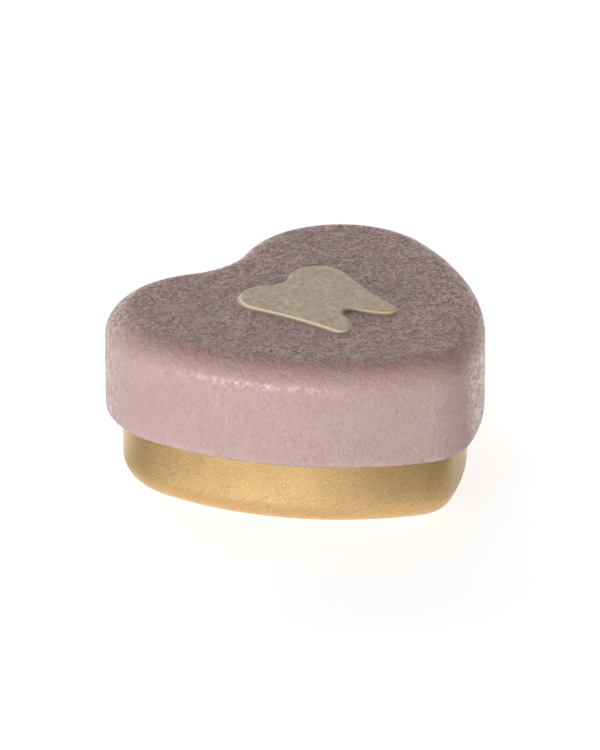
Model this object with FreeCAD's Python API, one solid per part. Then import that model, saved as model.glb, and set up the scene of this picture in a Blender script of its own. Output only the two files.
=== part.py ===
# Heart-shaped keepsake tin for milk teeth, pressed from thin tinplate.
# A drawn base with a rolled rim, a slip-on lid with a rolled hem, and a tooth raised in the lid's top.
# Millimetres, +Z up. The heart points to -Y. The origin is on the table, under the middle of the lid.

import FreeCAD
import Part
import math
import os

Vector = FreeCAD.Vector

# Plan of the lid's outside: a hollow notch, two lobes, two long sides and a tip, all touching circles.
lid_width = 65.0
lid_length = 60.0
lobe_radius = 17.9
tip_radius = 9.6
side_radius = 53.6
notch_radius = 13.4

# Heights, and the rounded edges that the press leaves.
overall_height = 29.8
lid_height = 17.9
shoulder_radius = 4.8
foot_radius = 4.2

# Tinplate and its rolled edges.
sheet = 0.3
hem_radius = 1.25
rim_radius = 0.8
hem_roll_degrees = 255.0
rim_roll_degrees = 255.0

# Running room: the hem round the base's wall, and the lid's shoulder over the base's rim.
slip_clearance = 0.3
seat_clearance = 0.15

# The raised tooth: a crown with two cusps, gently drawn-in sides and two roots.
tooth_width = 22.0
tooth_length = 24.0
tooth_offset = 1.5
crown_radius = 5.3
dip_radius = 3.2
neck_radius = 60.0
root_radius = 2.1
root_spread = 10.6
root_side_radius = 14.0
crotch_radius = 1.2
crotch_depth = 6.0
relief_height = 0.52
relief_slope_degrees = 65.0
brow_inner_radius = 0.08

# Places that follow from those sizes.
hem_height = overall_height - lid_height
shoulder_height = overall_height - shoulder_radius
base_inset = 2 * hem_radius + slip_clearance
foot_inset = base_inset + foot_radius
rim_inset = base_inset + rim_radius
shoulder_reach = max(shoulder_radius - rim_inset, 0)
seat_radius = shoulder_radius - sheet - rim_radius - seat_clearance
rim_height = shoulder_height + math.sqrt(seat_radius ** 2 - shoulder_reach ** 2)
relief_slope = math.radians(relief_slope_degrees)
relief_bends = relief_height / (1 - math.cos(relief_slope))
relief_run = relief_bends * math.sin(relief_slope)
brow_radius = brow_inner_radius + sheet
skirt_radius = relief_bends - brow_radius


class Circle:
    """A circle of a plan: the metal lies inside a bulging one and outside a hollow one."""

    def __init__(self, x, y, radius, hollow=False):
        self.centre = Vector(x, y, 0)
        self.radius = radius
        self.hollow = hollow

    def mirrored(self):
        return Circle(-self.centre.x, self.centre.y, self.radius, self.hollow)


class PlanArc:
    """One arc of a closed plan, run clockwise as seen from above. It can be moved in from the outline."""

    def __init__(self, circle, start_point, end_point):
        self.circle = circle
        self.start = self.angle_of(start_point)
        turn = self.angle_of(end_point) - self.start
        self.sweep = turn % math.tau if circle.hollow else -(-turn % math.tau)

    def angle_of(self, point):
        arm = point - self.circle.centre
        return math.atan2(arm.y, arm.x)

    def point(self, inset, height, share=0):
        radius = self.circle.radius + (inset if self.circle.hollow else -inset)
        angle = self.start + share * self.sweep
        return self.circle.centre + Vector(radius * math.cos(angle), radius * math.sin(angle), height)


def circle_on_axis(neighbour, radius):
    """The hollow circle on the plan's axis, above its neighbour, that touches it."""
    rise = math.sqrt((neighbour.radius + radius) ** 2 - neighbour.centre.x ** 2)
    return Circle(0, neighbour.centre.y + rise, radius, hollow=True)


def circle_between(upper, lower, radius, hollow=False):
    """The long circle that touches two others: it holds its own kind and lies beside the other kind."""
    to_upper = radius + (-upper.radius if upper.hollow == hollow else upper.radius)
    to_lower = radius + (-lower.radius if lower.hollow == hollow else lower.radius)
    axis = upper.centre - lower.centre
    along = (to_lower ** 2 - to_upper ** 2 + axis.Length ** 2) / (2 * axis.Length)
    across = math.sqrt(to_lower ** 2 - along ** 2)
    axis.normalize()
    outwards = Vector(axis.y, -axis.x, 0)
    centre = lower.centre + axis * along + outwards * (across if hollow else -across)
    return Circle(centre.x, centre.y, radius, hollow)


def touch_point(first, second):
    if first.hollow != second.hollow:
        share = first.radius / (first.radius + second.radius)
        return first.centre + (second.centre - first.centre) * share
    big, small = sorted((first, second), key=lambda circle: -circle.radius)
    direction = small.centre - big.centre
    direction.normalize()
    return big.centre + direction * big.radius


def closed_plan(half):
    """The arcs of a symmetric outline, from its right half, listed from the top of the axis to its foot."""
    circles = half + [circle.mirrored() for circle in reversed(half[1:-1])]
    arcs = []
    for index, circle in enumerate(circles):
        before = circles[index - 1]
        after = circles[(index + 1) % len(circles)]
        arcs.append(PlanArc(circle, touch_point(before, circle), touch_point(circle, after)))
    return arcs


def heart_plan():
    lobe = Circle(lid_width / 2 - lobe_radius, lid_length / 2 - lobe_radius, lobe_radius)
    tip = Circle(0, tip_radius - lid_length / 2, tip_radius)
    notch = circle_on_axis(lobe, notch_radius)
    side = circle_between(lobe, tip, side_radius)
    return closed_plan([notch, lobe, side, tip])


def tooth_plan():
    top = tooth_offset + tooth_length / 2
    bottom = tooth_offset - tooth_length / 2
    crown = Circle(tooth_width / 2 - crown_radius, top - crown_radius, crown_radius)
    root = Circle(root_spread / 2, bottom + root_radius, root_radius)
    dip = circle_on_axis(crown, dip_radius)
    neck = circle_between(crown, root, neck_radius, hollow=True)
    crotch = Circle(0, bottom + crotch_depth - crotch_radius, crotch_radius, hollow=True)
    root_side = circle_between(root, crotch, root_side_radius)
    return closed_plan([dip, crown, neck, root, root_side, crotch])


def plan_plate(plan, inset, low, high):
    """A flat plate of the plan's shape, moved in from its outline."""
    edges = []
    for arc in plan:
        points = [arc.point(inset, low, share) for share in (0, 1 / 2, 1)]
        edges.append(Part.Arc(*points).toShape())
    return Part.Face(Part.Wire(edges)).extrude(Vector(0, 0, high - low))


def bend(inset, height, radius, start_degrees, end_degrees):
    """Three points of a profile's bend: its start, middle and end."""
    points = []
    for degrees in (start_degrees, (start_degrees + end_degrees) / 2, end_degrees):
        angle = math.radians(degrees)
        points.append((inset + radius * math.cos(angle), height + radius * math.sin(angle)))
    return points


def profile_loop(runs):
    """Closes runs of (inset, height) points: a run of three is a bend, and lines join the runs."""
    segments = []
    for index, run in enumerate(runs):
        following = runs[(index + 1) % len(runs)]
        if len(run) > 1:
            segments.append(run)
        if math.dist(run[-1], following[0]) > Part.Precision.confusion():
            segments.append([run[-1], following[0]])
    return segments


def swept_ring(plan, runs):
    """Sweeps a profile round the plan, one sector to each arc."""
    sectors = []
    for arc in plan:
        edges = []
        for segment in profile_loop(runs):
            points = [arc.point(inset, height) for inset, height in segment]
            curve = Part.Arc(*points) if len(points) > 2 else Part.LineSegment(*points)
            edges.append(curve.toShape())
        face = Part.Face(Part.Wire(edges))
        sectors.append(face.revolve(arc.circle.centre, Vector(0, 0, 1), math.degrees(arc.sweep)))
    return sectors


def joined(shapes):
    """One solid from pieces that meet face to face."""
    solid, = shapes[0].multiFuse(shapes[1:]).removeSplitter().Solids
    return solid


def make_lid(heart, tooth):
    """Flat top with a window for the tooth, round shoulder, straight skirt and a hem rolled inwards."""
    hem_end = 180 + hem_roll_degrees
    roll_height = hem_height + hem_radius
    skirt = swept_ring(heart, [
        [(shoulder_radius, overall_height - sheet)],
        bend(shoulder_radius, shoulder_height, shoulder_radius, 90, 180),
        bend(hem_radius, roll_height, hem_radius, 180, hem_end),
        bend(hem_radius, roll_height, hem_radius - sheet, hem_end, 180),
        bend(shoulder_radius, shoulder_height, shoulder_radius - sheet, 180, 90),
    ])
    top = plan_plate(heart, shoulder_radius, overall_height - sheet, overall_height)
    window = plan_plate(tooth, 0, overall_height - sheet, overall_height)
    return joined(skirt + [top.cut(window)])


def make_raised_tooth(tooth):
    """Tooth pressed up out of the lid's sheet: a wide skirt bend and a tight brow bend round a flat face."""
    turn = relief_slope_degrees
    face_height = overall_height + relief_height
    skirt_centre = overall_height + skirt_radius
    brow_centre = face_height - brow_radius
    flank = swept_ring(tooth, [
        bend(0, skirt_centre, skirt_radius, 270, 270 + turn),
        bend(relief_run, brow_centre, brow_radius, 90 + turn, 90),
        bend(relief_run, brow_centre, brow_inner_radius, 90, 90 + turn),
        bend(0, skirt_centre, skirt_radius + sheet, 270 + turn, 270),
    ])
    face = plan_plate(tooth, relief_run, face_height - sheet, face_height)
    return joined(flank + [face])


def make_base(heart):
    """Flat bottom, round foot, straight wall and a rim rolled inwards."""
    rim_end = 180 - rim_roll_degrees
    wall = swept_ring(heart, [
        [(foot_inset, sheet)],
        bend(foot_inset, foot_radius, foot_radius, 270, 180),
        bend(rim_inset, rim_height, rim_radius, 180, rim_end),
        bend(rim_inset, rim_height, rim_radius - sheet, rim_end, 180),
        bend(foot_inset, foot_radius, foot_radius - sheet, 180, 270),
    ])
    floor = plan_plate(heart, foot_inset, 0, sheet)
    return joined(wall + [floor])


heart = heart_plan()
tooth = tooth_plan()
pieces = {
    "lid": make_lid(heart, tooth),
    "raised_tooth": make_raised_tooth(tooth),
    "base": make_base(heart),
}
os.makedirs("parts", exist_ok=True)
for name, solid in pieces.items():
    solid.exportStep(f"parts/{name}.step")
    print(f"{name}: {solid.Volume:.1f} mm3 of tinplate")
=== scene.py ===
import math
from collections import namedtuple

import bmesh
import bpy
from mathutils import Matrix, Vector


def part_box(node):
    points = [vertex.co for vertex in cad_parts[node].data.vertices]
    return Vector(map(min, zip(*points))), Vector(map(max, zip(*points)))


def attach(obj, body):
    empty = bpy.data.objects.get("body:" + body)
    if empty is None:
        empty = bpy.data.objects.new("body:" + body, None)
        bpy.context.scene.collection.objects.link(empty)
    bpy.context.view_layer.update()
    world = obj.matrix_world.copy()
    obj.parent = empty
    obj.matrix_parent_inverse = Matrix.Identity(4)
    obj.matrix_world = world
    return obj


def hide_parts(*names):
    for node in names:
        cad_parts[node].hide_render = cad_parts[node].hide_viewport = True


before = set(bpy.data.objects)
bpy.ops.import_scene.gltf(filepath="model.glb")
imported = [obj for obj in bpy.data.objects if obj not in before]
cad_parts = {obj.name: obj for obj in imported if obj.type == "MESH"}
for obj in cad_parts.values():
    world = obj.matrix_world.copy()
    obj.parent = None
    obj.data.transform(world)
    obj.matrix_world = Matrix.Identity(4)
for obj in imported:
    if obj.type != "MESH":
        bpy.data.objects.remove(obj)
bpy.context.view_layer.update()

mm = 0.001
quarter = math.pi / 2
fullTurn = 2 * math.pi
scene = bpy.context.scene
scene.view_settings.view_transform = "Standard"
lidLow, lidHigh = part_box("lid")
toothLow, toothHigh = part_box("raised_tooth")
baseLow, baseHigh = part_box("base")
print("frame loaded:", sorted(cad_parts))


# Plans: chains of touching circles, from the top of the axis to its foot

Circle = namedtuple("Circle", "x y radius hollow")      # the metal lies outside a hollow one


def circleOnAxis(neighbour, radius):
    rise = math.sqrt((neighbour.radius + radius) ** 2 - neighbour.x ** 2)
    return Circle(0.0, neighbour.y + rise, radius, True)


def circleBetween(upper, lower, radius, hollow):        # it holds its own kind and lies beside the other
    toUpper = radius + (-upper.radius if upper.hollow == hollow else upper.radius)
    toLower = radius + (-lower.radius if lower.hollow == hollow else lower.radius)
    start = Vector((lower.x, lower.y))
    axis = Vector((upper.x, upper.y)) - start
    along = (toLower ** 2 - toUpper ** 2 + axis.length_squared) / (2 * axis.length)
    across = math.sqrt(toLower ** 2 - along ** 2)
    axis.normalize()
    outwards = Vector((axis.y, -axis.x)) * (across if hollow else -across)
    centre = start + axis * along + outwards
    return Circle(centre.x, centre.y, radius, hollow)


def touchNormal(first, second):         # direction out of the plan where two circles touch
    flip = 0.0
    if first.hollow == second.hollow:
        start, end = sorted((first, second), key=lambda circle: -circle.radius)
        if first.hollow:
            flip = math.pi
    else:
        start, end = sorted((first, second), key=lambda circle: circle.hollow)
    return math.atan2(end.y - start.y, end.x - start.x) + flip


def planTurns(rightHalf):               # (centre, radius, angle) of each spin round the whole plan
    touches = [touchNormal(upper, lower) for upper, lower in zip(rightHalf, rightHalf[1:])]
    normals = [quarter] + touches + [-quarter]
    turns = []
    mirrored = []
    for circle, start, end in zip(rightHalf, normals, normals[1:]):
        angle = (end - start) % fullTurn if circle.hollow else -((start - end) % fullTurn)
        turns.append((Vector((circle.x, circle.y, 0)), circle.radius, angle))
        mirrored.append((Vector((-circle.x, circle.y, 0)), circle.radius, angle))
    return turns + mirrored[::-1]


heart = {"lobe": 17.9 * mm, "tip": 9.6 * mm, "side": 53.6 * mm, "notch": 13.4 * mm}     # radii


def heartPlan():
    lobe = Circle(lidHigh.x - heart["lobe"], lidHigh.y - heart["lobe"], heart["lobe"], False)
    tip = Circle(0.0, lidLow.y + heart["tip"], heart["tip"], False)
    notch = circleOnAxis(lobe, heart["notch"])
    side = circleBetween(lobe, tip, heart["side"], False)
    return planTurns([notch, lobe, side, tip]), notch.y - notch.radius


tooth = {"crown": 5.3 * mm, "dip": 3.2 * mm, "neck": 60 * mm, "root": 2.1 * mm, "rootSide": 14 * mm,
         "crotch": 1.2 * mm, "rootSpread": 10.6 * mm, "crotchDepth": 6 * mm, "slope": math.radians(65),
         "browInner": 0.08 * mm, "flat": 0.5 * mm, "skirtSteps": 10, "browSteps": 8, "flatCuts": 1,
         "step": 0.3 * mm}


def toothPlan():
    crown = Circle(toothHigh.x - tooth["crown"], toothHigh.y - tooth["crown"], tooth["crown"], False)
    root = Circle(tooth["rootSpread"] / 2, toothLow.y + tooth["root"], tooth["root"], False)
    dip = circleOnAxis(crown, tooth["dip"])
    neck = circleBetween(crown, root, tooth["neck"], True)
    crotch = Circle(0.0, toothLow.y + tooth["crotchDepth"] - tooth["crotch"], tooth["crotch"], True)
    rootSide = circleBetween(root, crotch, tooth["rootSide"], False)
    return planTurns([dip, crown, neck, root, rootSide, crotch]), dip.y - dip.radius


heartTurns, heartTop = heartPlan()      # the second value is where the plan starts on the axis
toothTurns, toothTop = toothPlan()
print("plans: heart", len(heartTurns), "turns, tooth", len(toothTurns), "turns")


# Node helpers

white = (1, 1, 1)
noiseMiddle = 0.5                       # mean of a noise or of a random colour
mixSockets = {"share": 0, "first": 6, "second": 7, "result": 2}         # the colour kind of the mix node


def setInput(tree, socket, value):
    if isinstance(value, bpy.types.NodeSocket):
        tree.links.new(value, socket)
    else:
        socket.default_value = value


def addNode(tree, kind, inputs=None, **settings):
    node = tree.nodes.new(kind)
    for name, value in settings.items():
        setattr(node, name, value)
    for name, value in (inputs or {}).items():
        setInput(tree, node.inputs[name], value)
    return node


def maths(tree, operation, first, second):
    return addNode(tree, "ShaderNodeMath", {0: first, 1: second}, operation=operation).outputs[0]


def times(tree, first, second):
    return maths(tree, "MULTIPLY", first, second)


def weighted(tree, terms):              # sum of values times weights
    total = 0.0
    for value, weight in terms:
        inputs = {0: value, 1: weight, 2: total}
        total = addNode(tree, "ShaderNodeMath", inputs, operation="MULTIPLY_ADD").outputs[0]
    return total


def vectorMaths(tree, operation, inputs, output="Vector"):
    return addNode(tree, "ShaderNodeVectorMath", inputs, operation=operation).outputs[output]


def scaled(tree, vector, scale):
    return vectorMaths(tree, "SCALE", {0: vector, "Scale": scale})


def dotWith(tree, vector, direction):
    return vectorMaths(tree, "DOT_PRODUCT", {0: vector, 1: direction}, "Value")


def fromMiddle(tree, colour):           # a random colour as a direction
    return vectorMaths(tree, "SUBTRACT", {0: colour, 1: (noiseMiddle, noiseMiddle, noiseMiddle)})


def ramp(tree, value, low, high, start=0.0, end=1.0):       # smooth step from start to end
    inputs = {"Value": value, "From Min": low, "From Max": high, "To Min": start, "To Max": end}
    return addNode(tree, "ShaderNodeMapRange", inputs, interpolation_type="SMOOTHSTEP").outputs["Result"]


def between(tree, share, start, end):
    return ramp(tree, share, 0.0, 1.0, start, end)


def noise(tree, place, scale, detail, roughness=0.5):
    inputs = {"Vector": place, "Scale": scale, "Detail": detail, "Roughness": roughness}
    return addNode(tree, "ShaderNodeTexNoise", inputs).outputs


def cells(tree, place, scale, feature="F1"):
    return addNode(tree, "ShaderNodeTexVoronoi", {"Vector": place, "Scale": scale}, feature=feature).outputs


def heightOf(tree, place):
    return addNode(tree, "ShaderNodeSeparateXYZ", {"Vector": place}).outputs["Z"]


def splitColour(tree, colour):
    return addNode(tree, "ShaderNodeSeparateColor", {"Color": colour}).outputs


def opaque(colour):
    return (*colour, 1.0) if isinstance(colour, tuple) else colour


def mixColour(tree, share, first, second):
    inputs = {mixSockets["share"]: share, mixSockets["first"]: opaque(first),
              mixSockets["second"]: opaque(second)}
    return addNode(tree, "ShaderNodeMix", inputs, data_type="RGBA").outputs[mixSockets["result"]]


def newGroup(name, inputs, outputs):
    group = bpy.data.node_groups.new(name, "ShaderNodeTree")
    group.interface.new_socket(name="Vector", in_out="INPUT", socket_type="NodeSocketVector")
    for label in inputs:
        group.interface.new_socket(name=label, in_out="INPUT", socket_type="NodeSocketFloat")
    for label in outputs:
        group.interface.new_socket(name=label, in_out="OUTPUT", socket_type="NodeSocketFloat")
    return group, addNode(group, "NodeGroupInput").outputs, addNode(group, "NodeGroupOutput").inputs


def useGroup(tree, group, place, values):
    return addNode(tree, "ShaderNodeGroup", {"Vector": place, **values}, node_tree=group).outputs


def newFinish(name, constants):
    material = bpy.data.materials.new(name)
    material.use_nodes = True
    tree = material.node_tree
    shader = tree.nodes["Principled BSDF"].inputs
    for label, value in constants.items():
        shader[label].default_value = value
    return material, tree, shader, addNode(tree, "ShaderNodeTexCoord").outputs["Object"]


def linkAll(tree, sockets, values):
    for label, value in values.items():
        tree.links.new(value, sockets[label])


def bumpInto(tree, shader, height, depth):
    bump = addNode(tree, "ShaderNodeBump", {"Height": height, "Distance": depth, "Strength": 1.0})
    tree.links.new(bump.outputs["Normal"], shader["Normal"])


# Shared effects: scales are in cells, and pairs are where a step starts and ends

crackleLook = {"detail": 3.0, "roughness": 0.6,
               "sway": 1.1, "swayScale": 1.1, "fray": 0.16, "frayScale": 5.5,
               "wideScale": 1.0, "wideBorder": (0.1, 0.03), "widePatch": (0.48, 0.6),
               "fineScale": 2.3, "fineBorder": (0.16, 0.04), "fineFade": 0.1, "patchScale": 0.6,
               "wrinkleScale": 1.9, "gloss": (0.43, 0.53),
               "pitScale": 1.1, "pitBorder": (0.16, 0.08), "pitChosen": (0.75, 0.95), "dome": (0.0, 0.22),
               "domeRelief": 0.5, "glossRelief": 0.35, "frayRelief": 0.3, "tiltRelief": 1.4,
               "crackRelief": -0.2}


def makeCrackle():                      # cells of lacquer with broken cracks between them
    look = crackleLook
    detail, roughness = look["detail"], look["roughness"]
    masks = ("Crack", "Shine", "Pit", "Height")
    group, start, end = newGroup("lacquerCrackle", ("Density", "Broken"), masks)
    place = scaled(group, start["Vector"], start["Density"])

    # swaying and frayed borders of wide and fine cells
    sway = fromMiddle(group, noise(group, place, look["swayScale"], detail)["Color"])
    bent = vectorMaths(group, "ADD", {0: place, 1: scaled(group, sway, look["sway"])})
    ragged = noise(group, place, look["frayScale"], detail, roughness)["Fac"]
    fray = times(group, maths(group, "SUBTRACT", ragged, noiseMiddle), look["fray"])
    wideEdge = cells(group, bent, look["wideScale"], "DISTANCE_TO_EDGE")["Distance"]
    fineEdge = cells(group, bent, look["fineScale"], "DISTANCE_TO_EDGE")["Distance"]
    wideEdge = maths(group, "ADD", wideEdge, fray)
    fineEdge = maths(group, "ADD", fineEdge, fray)

    # both kinds of crack open only in patches
    patch = splitColour(group, noise(group, place, look["patchScale"], detail, roughness)["Color"])
    wideHere = ramp(group, patch["Red"], *look["widePatch"])
    fineFull = maths(group, "ADD", start["Broken"], look["fineFade"])
    fineHere = ramp(group, patch["Green"], start["Broken"], fineFull)
    wideCrack = times(group, ramp(group, wideEdge, *look["wideBorder"]), wideHere)
    fineCrack = times(group, ramp(group, fineEdge, *look["fineBorder"]), fineHere)
    crack = maths(group, "MAXIMUM", wideCrack, fineCrack)

    # wrinkles shine, and a few cells have a pit
    wrinkle = noise(group, bent, look["wrinkleScale"], detail, roughness)["Fac"]
    gloss = ramp(group, maths(group, "ADD", wrinkle, fray), *look["gloss"])
    shine = times(group, gloss, maths(group, "SUBTRACT", 1.0, crack))
    spot = cells(group, bent, look["pitScale"])
    chosen = ramp(group, splitColour(group, spot["Color"])["Green"], *look["pitChosen"])
    pit = times(group, ramp(group, spot["Distance"], *look["pitBorder"]), chosen)

    # each wide cell is domed and leans its own way
    flake = cells(group, bent, look["wideScale"])
    reach = vectorMaths(group, "SUBTRACT", {0: bent, 1: flake["Position"]})
    tilt = dotWith(group, fromMiddle(group, flake["Color"]), reach)
    dome = ramp(group, wideEdge, *look["dome"])
    height = weighted(group, ((dome, look["domeRelief"]), (gloss, look["glossRelief"]),
                              (ragged, look["frayRelief"]), (tilt, look["tiltRelief"]),
                              (crack, look["crackRelief"])))
    linkAll(group, end, {"Crack": crack, "Shine": shine, "Pit": pit, "Height": height})
    return group


grainLook = {"speckle": {"detail": 2.0, "roughness": 0.7}, "patch": {"detail": 4.0, "roughness": 0.6}}


def makeGrain():                        # fine speckle and slow patches
    group, start, end = newGroup("grain", ("Fine", "Slow"), ("Speckle", "Patch"))
    speckle = noise(group, start["Vector"], start["Fine"], **grainLook["speckle"])["Fac"]
    patch = noise(group, start["Vector"], start["Slow"], **grainLook["patch"])["Fac"]
    linkAll(group, end, {"Speckle": speckle, "Patch": patch})
    return group


hairlineLook = {"slant": (math.radians(30), 0.0, math.radians(-142)), "stretch": (1.0, 26.0, 1.0),
                "noise": {"detail": 3.0, "roughness": 0.6}, "line": (0.57, 0.67)}


def makeHairlines():                    # thin slanting rub marks
    group, start, end = newGroup("hairlines", ("Density",), ("Line",))
    look = hairlineLook
    inputs = {"Vector": start["Vector"], "Rotation": look["slant"], "Scale": look["stretch"]}
    drawn = addNode(group, "ShaderNodeMapping", inputs, vector_type="TEXTURE").outputs["Vector"]
    marks = noise(group, drawn, start["Density"], **look["noise"])["Fac"]
    linkAll(group, end, {"Line": ramp(group, marks, *look["line"])})
    return group


lacquerCrackle = makeCrackle()
grain = makeGrain()
hairlines = makeHairlines()
print("shared effects:", lacquerCrackle.name, grain.name, hairlines.name)


# Finishes

pinkLook = {"constants": {"Specular IOR Level": 0.05, "Coat Roughness": 0.33},
            "crackle": {"Density": 800.0, "Broken": 0.54}, "dust": {"Fine": 5200.0, "Slow": 130.0},
            "blotch": {"Fine": 1700.0, "Slow": 620.0},
            # the shoulder colour is painted shade: the lacquer drawn darker and browner over the bend
            "wall": (0.58, 0.41, 0.393), "shoulder": (0.53, 0.335, 0.31), "shoulderDepth": 5 * mm,
            # the flat top's dark mottle is partly painted shade, and its light mottle, led by the shine
            # share, is partly painted sheen
            "mottleDarkAndShade": (0.42, 0.29, 0.235), "mottleLightAndSheen": (0.79, 0.495, 0.472), "topDepth": 0.5 * mm,
            "cloudPatch": (0.36, 0.62), "cloudSpeckle": (0.3, 0.6), "cloudShare": 0.32, "paintedSheenShare": 0.36,
            # the pale hem colour is a painted highlight along the lid's lower rim
            "hem": (0.74, 0.57, 0.565), "hemTop": 1.8 * mm, "hemFull": 0.5 * mm, "hemHighlightShare": 0.4,
            "stain": (0.53, 0.355, 0.335), "stainPatch": (0.35, 0.7), "stainShare": 0.5,
            "speck": (0.45, 0.295, 0.27), "speckSpeckle": (0.45, 0.75), "speckShare": 0.3,
            "crack": (0.36, 0.23, 0.2), "crackShare": 0.1, "pit": (0.24, 0.15, 0.12), "pitShare": 0.5,
            "matt": 0.65, "shiny": 0.45, "shoulderCoat": 0.65, "topCoat": 0.46,
            "pebbleScale": 950.0, "pebbleDetail": 1.0, "pebbleRelief": 2.6, "relief": 0.065 * mm}


def pinkLacquer():
    look = pinkLook
    material, tree, shader, place = newFinish("pinkLacquer", look["constants"])
    crackle = useGroup(tree, lacquerCrackle, place, look["crackle"])
    dust = useGroup(tree, grain, place, look["dust"])
    blotch = useGroup(tree, grain, place, look["blotch"])
    height = heightOf(tree, place)

    # painted shade makes the shoulder darker and browner and the flat top darker; the top is mottled with
    # cloudy blotches and with painted sheen where the lacquer shines; a painted highlight runs pale round
    # the hem
    upper = ramp(tree, height, lidHigh.z - look["shoulderDepth"], lidHigh.z)
    level = ramp(tree, height, lidHigh.z - look["topDepth"], lidHigh.z)
    # painted highlight: paler round the hem
    hem = ramp(tree, height, lidLow.z + look["hemTop"], lidLow.z + look["hemFull"], 0.0, look["hemHighlightShare"])
    cloud = maths(tree, "ADD", ramp(tree, blotch["Patch"], *look["cloudPatch"]),
                  ramp(tree, blotch["Speckle"], *look["cloudSpeckle"]))
    # real cloudy blotches plus painted sheen where the lacquer shines
    lightShare = weighted(tree, ((cloud, look["cloudShare"]), (crackle["Shine"], look["paintedSheenShare"])))
    mottle = mixColour(tree, lightShare, look["mottleDarkAndShade"], look["mottleLightAndSheen"])
    # painted shade: darker and browner over the shoulder and the flat top
    colour = mixColour(tree, upper, look["wall"], look["shoulder"])
    colour = mixColour(tree, level, colour, mottle)
    colour = mixColour(tree, hem, colour, look["hem"])

    # wear over all of it
    marks = {"stain": ramp(tree, dust["Patch"], *look["stainPatch"], 0.0, look["stainShare"]),
             "speck": ramp(tree, dust["Speckle"], *look["speckSpeckle"], 0.0, look["speckShare"]),
             "crack": times(tree, crackle["Crack"], look["crackShare"]),
             "pit": times(tree, crackle["Pit"], look["pitShare"])}
    for name, share in marks.items():
        colour = mixColour(tree, share, colour, look[name])

    # less coat higher up, and pebbles everywhere but on the flat top
    coat = times(tree, between(tree, upper, 1.0, look["shoulderCoat"]),
                 between(tree, level, 1.0, look["topCoat"]))
    wave = noise(tree, place, look["pebbleScale"], look["pebbleDetail"])["Fac"]
    pebble = times(tree, maths(tree, "SUBTRACT", wave, noiseMiddle),
                   between(tree, level, look["pebbleRelief"], 0.0))
    linkAll(tree, shader, {"Base Color": colour, "Coat Weight": times(tree, crackle["Shine"], coat),
                           "Roughness": between(tree, crackle["Shine"], look["matt"], look["shiny"])})
    bumpInto(tree, shader, maths(tree, "ADD", crackle["Height"], pebble), look["relief"])
    return material


creamLook = {"constants": {"IOR": 1.5, "Coat Roughness": 0.35},
             "crackle": {"Density": 700.0, "Broken": 0.4}, "dust": {"Fine": 3600.0, "Slow": 1100.0},
             "light": (0.94, 0.712, 0.487), "dark": (0.69, 0.507, 0.28), "darkPatch": (0.3, 0.7),
             "speck": (0.5, 0.37, 0.22), "speckSpeckle": (0.45, 0.75), "speckShare": 0.6,
             # the pale brow colour is a painted highlight along the relief's upper edge
             "brow": (0.8, 0.66, 0.495), "browTop": 0.003 * mm, "browFull": 0.025 * mm, "browHighlightShare": 0.8,
             # the dark skirt colour is painted shade in the crease round the relief's foot
             "skirt": (0.44, 0.345, 0.225), "skirtTop": 0.28 * mm, "skirtFull": 0.12 * mm,
             "skirtShadeShare": 0.75, "matt": 0.6, "shiny": 0.48, "coat": 0.2, "relief": 0.012 * mm}


def creamLacquer():
    look = creamLook
    material, tree, shader, place = newFinish("creamLacquer", look["constants"])
    crackle = useGroup(tree, lacquerCrackle, place, look["crackle"])
    dust = useGroup(tree, grain, place, look["dust"])
    height = heightOf(tree, place)
    colour = mixColour(tree, ramp(tree, dust["Patch"], *look["darkPatch"]), look["light"], look["dark"])

    # specks, then a painted highlight pale along the brow and painted shade darker round the foot
    top, foot = toothHigh.z, lidHigh.z
    marks = {"speck": ramp(tree, dust["Speckle"], *look["speckSpeckle"], 0.0, look["speckShare"]),
             # painted highlight: paler along the brow
             "brow": ramp(tree, height, top - look["browTop"], top - look["browFull"],
                          0.0, look["browHighlightShare"]),
             # painted shade: darker round the relief's foot
             "skirt": ramp(tree, height, foot + look["skirtTop"], foot + look["skirtFull"],
                           0.0, look["skirtShadeShare"])}
    for name, share in marks.items():
        colour = mixColour(tree, share, colour, look[name])

    linkAll(tree, shader, {"Base Color": colour, "Coat Weight": times(tree, crackle["Shine"], look["coat"]),
                           "Roughness": between(tree, crackle["Shine"], look["matt"], look["shiny"])})
    bumpInto(tree, shader, maths(tree, "ADD", crackle["Height"], dust["Speckle"]), look["relief"])
    return material


goldLook = {"constants": {"Metallic": 1.0, "Coat Weight": 0.5, "Coat Roughness": 0.4},
            "dust": {"Fine": 5200.0, "Slow": 160.0}, "rub": {"Density": 2400.0},
            "dark": (0.5, 0.33, 0.143), "light": (0.785, 0.535, 0.246), "lightSpeckle": (0.3, 0.7),
            "line": (0.46, 0.305, 0.14), "lineShare": 0.65, "lineRelief": 0.4,
            "roughPatch": (0.3, 0.7), "shiny": 0.39, "matt": 0.46, "relief": 0.02 * mm}


def goldLacquer():
    look = goldLook
    material, tree, shader, place = newFinish("goldLacquer", look["constants"])
    dust = useGroup(tree, grain, place, look["dust"])
    rub = useGroup(tree, hairlines, place, look["rub"])
    lightShare = ramp(tree, dust["Speckle"], *look["lightSpeckle"])
    colour = mixColour(tree, lightShare, look["dark"], look["light"])
    colour = mixColour(tree, times(tree, rub["Line"], look["lineShare"]), colour, look["line"])
    roughness = ramp(tree, dust["Patch"], *look["roughPatch"], look["shiny"], look["matt"])
    scratch = times(tree, rub["Line"], look["lineRelief"])
    linkAll(tree, shader, {"Base Color": colour, "Roughness": roughness})
    bumpInto(tree, shader, maths(tree, "SUBTRACT", dust["Speckle"], scratch), look["relief"])
    return material


tinLook = {"constants": {"Metallic": 1.0},
           "dust": {"Fine": 2500.0, "Slow": 120.0}, "rub": {"Density": 900.0},
           "dark": (0.72, 0.56, 0.33), "light": (0.80, 0.68, 0.46),
           "roughPatch": (0.3, 0.7), "shiny": 0.3, "matt": 0.4, "lineMatt": 0.12, "relief": 0.004 * mm}


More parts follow.
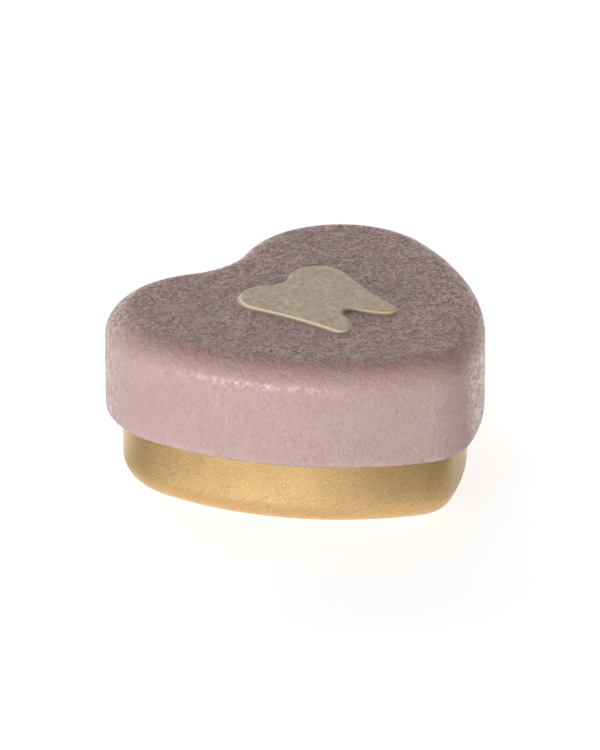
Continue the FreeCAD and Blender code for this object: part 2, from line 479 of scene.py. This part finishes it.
def insideTin():
    look = tinLook
    material, tree, shader, place = newFinish("insideTin", look["constants"])
    dust = useGroup(tree, grain, place, look["dust"])
    rub = useGroup(tree, hairlines, place, look["rub"])
    colour = mixColour(tree, dust["Patch"], look["dark"], look["light"])
    rough = ramp(tree, dust["Patch"], *look["roughPatch"], look["shiny"], look["matt"])
    rubbed = maths(tree, "ADD", rough, times(tree, rub["Line"], look["lineMatt"]))
    linkAll(tree, shader, {"Base Color": colour, "Roughness": rubbed})
    bumpInto(tree, shader, dust["Speckle"], look["relief"])
    return material


pinkFinish = pinkLacquer()
creamFinish = creamLacquer()
goldFinish = goldLacquer()
tinFinish = insideTin()
print("finishes:", pinkFinish.name, creamFinish.name, goldFinish.name, tinFinish.name)


# Sheet metal: a profile is drawn on the axis and spun round each circle of the plan

sheetMetal = {"fewestSteps": 4, "merge": 0.002 * mm, "level": 0.01 * mm, "sharp": math.radians(40)}
outerSlot, innerSlot = 0, 1             # places in a sheet's list of materials


def addObject(name, data):
    thing = bpy.data.objects.new(name, data)
    scene.collection.objects.link(thing)
    return thing


def meshFrom(name, bm):
    mesh = bpy.data.meshes.new(name)
    bm.to_mesh(mesh)
    bm.free()
    return mesh


def lineTo(bm, tip, y, z, cuts):
    step = (Vector((0, y, z)) - tip.co) / (cuts + 1)
    for _ in range(cuts + 1):
        tip, = bmesh.ops.extrude_vert_indiv(bm, verts=[tip])["verts"]
        bmesh.ops.translate(bm, verts=[tip], vec=step)
    return tip


def bendRound(bm, tip, y, z, angle, steps):
    made = bmesh.ops.spin(bm, geom=[tip], cent=(0, y, z), axis=(1, 0, 0), angle=angle, steps=steps)
    return next(v for v in made["geom_last"] if isinstance(v, bmesh.types.BMVert))


def spinPlan(bm, geom, turns, step):
    for centre, radius, angle in turns:
        steps = max(sheetMetal["fewestSteps"], math.ceil(abs(angle) * radius / step))
        made = bmesh.ops.spin(bm, geom=geom, cent=centre, axis=(0, 0, 1), angle=angle, steps=steps)
        geom = made["geom_last"]
    bmesh.ops.remove_doubles(bm, verts=bm.verts[:], dist=sheetMetal["merge"])


def fillAt(bm, z):                      # closes the flat at this height, round any window in it
    loose = [e for e in bm.edges if len(e.link_faces) < 2]
    rims = [e for e in loose if all(abs(v.co.z - z) < sheetMetal["level"] for v in e.verts)]
    bmesh.ops.triangle_fill(bm, edges=rims, use_beauty=True)


def sheetPiece(name, bm, thickness, outside, inside):
    bmesh.ops.recalc_face_normals(bm, faces=bm.faces[:])
    outer = set(bm.faces)
    bmesh.ops.solidify(bm, geom=bm.faces[:], thickness=thickness)
    for face in bm.faces:
        face.smooth = True
        face.material_index = outerSlot if face in outer else innerSlot
    mesh = meshFrom(name, bm)
    mesh.set_sharp_from_angle(angle=sheetMetal["sharp"])
    mesh.materials.append(outside)
    mesh.materials.append(inside)
    print(name, len(mesh.polygons), "faces")
    return addObject(name, mesh)


lid = {"sheet": 0.3 * mm, "shoulder": 4.8 * mm, "hem": 1.25 * mm, "hemRoll": math.radians(255),
       "flat": 3.6 * mm, "flatCuts": 2, "shoulderSteps": 18, "wallCuts": 8, "hemSteps": 28,
       "step": 0.8 * mm}


def makeLid():
    bm = bmesh.new()
    top, shoulder, hem = lidHigh.z, lid["shoulder"], lid["hem"]
    hemCentre = lidLow.z + hem
    spinPlan(bm, [bm.verts.new((0, toothTop, top))], toothTurns, tooth["step"])
    window = set(bm.verts)
    tip = bm.verts.new((0, heartTop - shoulder - lid["flat"], top))
    tip = lineTo(bm, tip, heartTop - shoulder, top, lid["flatCuts"])
    tip = bendRound(bm, tip, heartTop - shoulder, top - shoulder, -quarter, lid["shoulderSteps"])
    tip = lineTo(bm, tip, heartTop, hemCentre, lid["wallCuts"])
    bendRound(bm, tip, heartTop - hem, hemCentre, -lid["hemRoll"], lid["hemSteps"])
    profile = [v for v in bm.verts if v not in window] + [e for e in bm.edges if e.verts[0] not in window]
    spinPlan(bm, profile, heartTurns, lid["step"])
    fillAt(bm, top)
    return sheetPiece("lid_shell", bm, lid["sheet"], pinkFinish, tinFinish)


def makeTooth():
    bm = bmesh.new()
    slope = tooth["slope"]
    bends = (toothHigh.z - lidHigh.z) / (1 - math.cos(slope))       # radii of both bends together
    brow = tooth["browInner"] + lid["sheet"]
    browPlace = toothTop - bends * math.sin(slope)
    tip = bm.verts.new((0, toothTop, lidHigh.z))
    tip = bendRound(bm, tip, toothTop, lidHigh.z + bends - brow, -slope, tooth["skirtSteps"])
    tip = bendRound(bm, tip, browPlace, toothHigh.z - brow, slope, tooth["browSteps"])
    lineTo(bm, tip, browPlace - tooth["flat"], toothHigh.z, tooth["flatCuts"])
    spinPlan(bm, bm.verts[:] + bm.edges[:], toothTurns, tooth["step"])
    fillAt(bm, toothHigh.z)
    return sheetPiece("tooth_relief", bm, lid["sheet"], creamFinish, tinFinish)


base = {"sheet": 0.3 * mm, "foot": 4.2 * mm, "rim": 0.8 * mm, "rimRoll": math.radians(255),
        "flat": 1.6 * mm, "flatCuts": 1, "footSteps": 16, "wallCuts": 12, "rimSteps": 24, "step": 0.8 * mm}


def makeBase():
    bm = bmesh.new()
    wall = heartTop - (lidHigh.x - baseHigh.x)      # set in from the lid's wall, alike all round
    foot, rim = base["foot"], base["rim"]
    rimCentre = baseHigh.z - rim
    tip = bm.verts.new((0, wall - foot - base["flat"], baseLow.z))
    tip = lineTo(bm, tip, wall - foot, baseLow.z, base["flatCuts"])
    tip = bendRound(bm, tip, wall - foot, baseLow.z + foot, quarter, base["footSteps"])
    tip = lineTo(bm, tip, wall, rimCentre, base["wallCuts"])
    bendRound(bm, tip, wall - rim, rimCentre, base["rimRoll"], base["rimSteps"])
    spinPlan(bm, bm.verts[:] + bm.edges[:], heartTurns, base["step"])
    fillAt(bm, baseLow.z)
    return sheetPiece("base_shell", bm, base["sheet"], goldFinish, tinFinish)


for piece, body, node, slot in ((makeLid(), "lid", "lid", "lid_lacquer"),
                                (makeTooth(), "lid", "raised_tooth", "tooth_lacquer"),
                                (makeBase(), "base", "base", "base_gold")):
    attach(piece, body)
    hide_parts(node)


# Studio: a white floor, a pale backdrop in a dim room, a long low lamp and a small fill lamp

camera = {"azimuth": math.radians(-43.725), "height": math.radians(24.862), "distance": 1212.6 * mm,
          "aim": (-0.25 * mm, 6.43 * mm, 14.9 * mm), "sensor": 24.0, "lens": 233.3}


def fromAngles(azimuth, height):
    flat = math.cos(height)
    return Vector((math.sin(azimuth) * flat, -math.cos(azimuth) * flat, math.sin(height)))


def levelWay(turn):                     # along the floor, turned from the side that the camera is on
    return fromAngles(camera["azimuth"] + turn, 0)


def isMirrored(tree, path):             # 1 where the surface is seen in a glossy reflection
    return maths(tree, "MAXIMUM", path["Is Glossy Ray"], path["Is Transmission Ray"])


floor = {"size": 8.0, "gap": 0.02 * mm, "colour": (0.85, 0.85, 0.85), "cameraGlow": 0.72,
         "nearGlow": 0.68, "nearReach": (50 * mm, 28 * mm), "underReach": (12 * mm, 24 * mm),
         "rightTurn": 1.15 * quarter, "rightSpread": (0.5, 0.95), "rightDim": 0.72,
         "behindGlow": 1.0, "behindSpread": (-0.2, 0.4),
         "leftTurn": -1.35 * quarter, "leftGlow": 0.45, "leftSpread": (0.7, 0.95)}


def floorGlow(tree):                    # brightness for the camera, and as the tin mirrors it
    path = addNode(tree, "ShaderNodeLightPath").outputs
    place = addNode(tree, "ShaderNodeTexCoord").outputs["Object"]
    reach = vectorMaths(tree, "LENGTH", {0: place}, "Value")
    outside = ramp(tree, reach, *floor["underReach"])               # alike under the tin
    side = scaled(tree, vectorMaths(tree, "NORMALIZE", {0: place}), outside)
    rightward = dotWith(tree, side, levelWay(floor["rightTurn"]))
    backward = dotWith(tree, side, levelWay(math.pi))
    leftward = dotWith(tree, side, levelWay(floor["leftTurn"]))
    near = ramp(tree, reach, *floor["nearReach"], 0.0, floor["nearGlow"])       # white round the tin
    near = times(tree, near, ramp(tree, rightward, *floor["rightSpread"], 1.0, floor["rightDim"]))
    behind = ramp(tree, backward, *floor["behindSpread"], 0.0, floor["behindGlow"])
    beside = ramp(tree, leftward, *floor["leftSpread"], 0.0, floor["leftGlow"])
    shown = maths(tree, "MAXIMUM", near, maths(tree, "MAXIMUM", behind, beside))
    return weighted(tree, ((path["Is Camera Ray"], floor["cameraGlow"]), (isMirrored(tree, path), shown)))


def makeFloor():
    bm = bmesh.new()
    bmesh.ops.create_grid(bm, x_segments=1, y_segments=1, size=floor["size"] / 2)
    bmesh.ops.translate(bm, verts=bm.verts[:], vec=(0, 0, baseLow.z - floor["gap"]))
    mesh = meshFrom("floor", bm)
    material = bpy.data.materials.new("whiteFloor")
    material.use_nodes = True
    tree = material.node_tree
    tree.nodes.clear()
    glowInputs = {"Color": opaque(white), "Strength": floorGlow(tree)}
    glow = addNode(tree, "ShaderNodeEmission", glowInputs).outputs[0]
    matt = addNode(tree, "ShaderNodeBsdfDiffuse", {"Color": opaque(floor["colour"])}).outputs[0]
    both = addNode(tree, "ShaderNodeAddShader", {0: matt, 1: glow}).outputs[0]
    below = addNode(tree, "ShaderNodeNewGeometry").outputs["Backfacing"]       # clear when seen from below
    clear = addNode(tree, "ShaderNodeBsdfTransparent").outputs[0]
    oneSided = addNode(tree, "ShaderNodeMixShader", {0: below, 1: both, 2: clear}).outputs[0]
    addNode(tree, "ShaderNodeOutputMaterial", {"Surface": oneSided})
    mesh.materials.append(material)
    addObject("floor", mesh)


room = {"leftLight": 0.22, "rightLight": 0.03, "sideSpread": (-0.8, 0.8), "backdropLight": 2.15,
        "backdropDepth": (0.3, 0.7), "backdropTop": (0.65, 0.55), "backdropRight": (0.6, 0.1)}


def makeRoom():
    world = bpy.data.worlds.new("studioDome")
    scene.world = world
    world.use_nodes = True
    tree = world.node_tree
    path = addNode(tree, "ShaderNodeLightPath").outputs
    way = addNode(tree, "ShaderNodeTexCoord").outputs["Generated"]
    rightward = dotWith(tree, way, levelWay(quarter))
    backward = dotWith(tree, way, -levelWay(0))
    dim = ramp(tree, rightward, *room["sideSpread"], room["leftLight"], room["rightLight"])
    low = ramp(tree, heightOf(tree, way), *room["backdropTop"])
    backdrop = times(tree, ramp(tree, backward, *room["backdropDepth"]), low)
    litShare = times(tree, backdrop, ramp(tree, rightward, *room["backdropRight"]))
    light = weighted(tree, ((litShare, room["backdropLight"]), (dim, 1.0)))
    seen = times(tree, isMirrored(tree, path), backdrop)        # white to the camera and in reflections
    seen = maths(tree, "MAXIMUM", seen, path["Is Camera Ray"])
    background = tree.nodes["Background"].inputs
    background["Color"].default_value = opaque(white)
    tree.links.new(maths(tree, "MAXIMUM", light, seen), background["Strength"])


lamps = {"longLamp": {"azimuth": math.radians(-74), "reach": 0.9, "width": 0.9, "tall": 0.17, "power": 7.9,
                      "mirrored": True},
         "fillLamp": {"azimuth": math.radians(45), "reach": 0.5, "width": 0.5, "tall": 0.08, "power": 1.15,
                      "mirrored": False}}


def makeLamps():                        # both stand on the floor and face the tin
    for name, lamp in lamps.items():
        light = bpy.data.lights.new(name, "AREA")
        light.shape = "RECTANGLE"
        light.size = lamp["width"]
        light.size_y = lamp["tall"]
        light.energy = lamp["power"]
        holder = addObject(name, light)
        holder.location = fromAngles(lamp["azimuth"], 0) * lamp["reach"] + Vector((0, 0, lamp["tall"] / 2))
        holder.rotation_euler = (quarter, 0, lamp["azimuth"])
        holder.visible_glossy = lamp["mirrored"]


def makeCamera():
    data = bpy.data.cameras.new("camera")
    data.sensor_fit = "VERTICAL"
    data.sensor_height = camera["sensor"]
    data.lens = camera["lens"]
    eye = addObject("camera", data)
    way = fromAngles(camera["azimuth"], camera["height"])
    eye.location = Vector(camera["aim"]) + way * camera["distance"]
    eye.rotation_euler = way.to_track_quat("Z", "Y").to_euler()
    scene.camera = eye


makeFloor()
makeRoom()
makeLamps()
makeCamera()
print("studio ready")
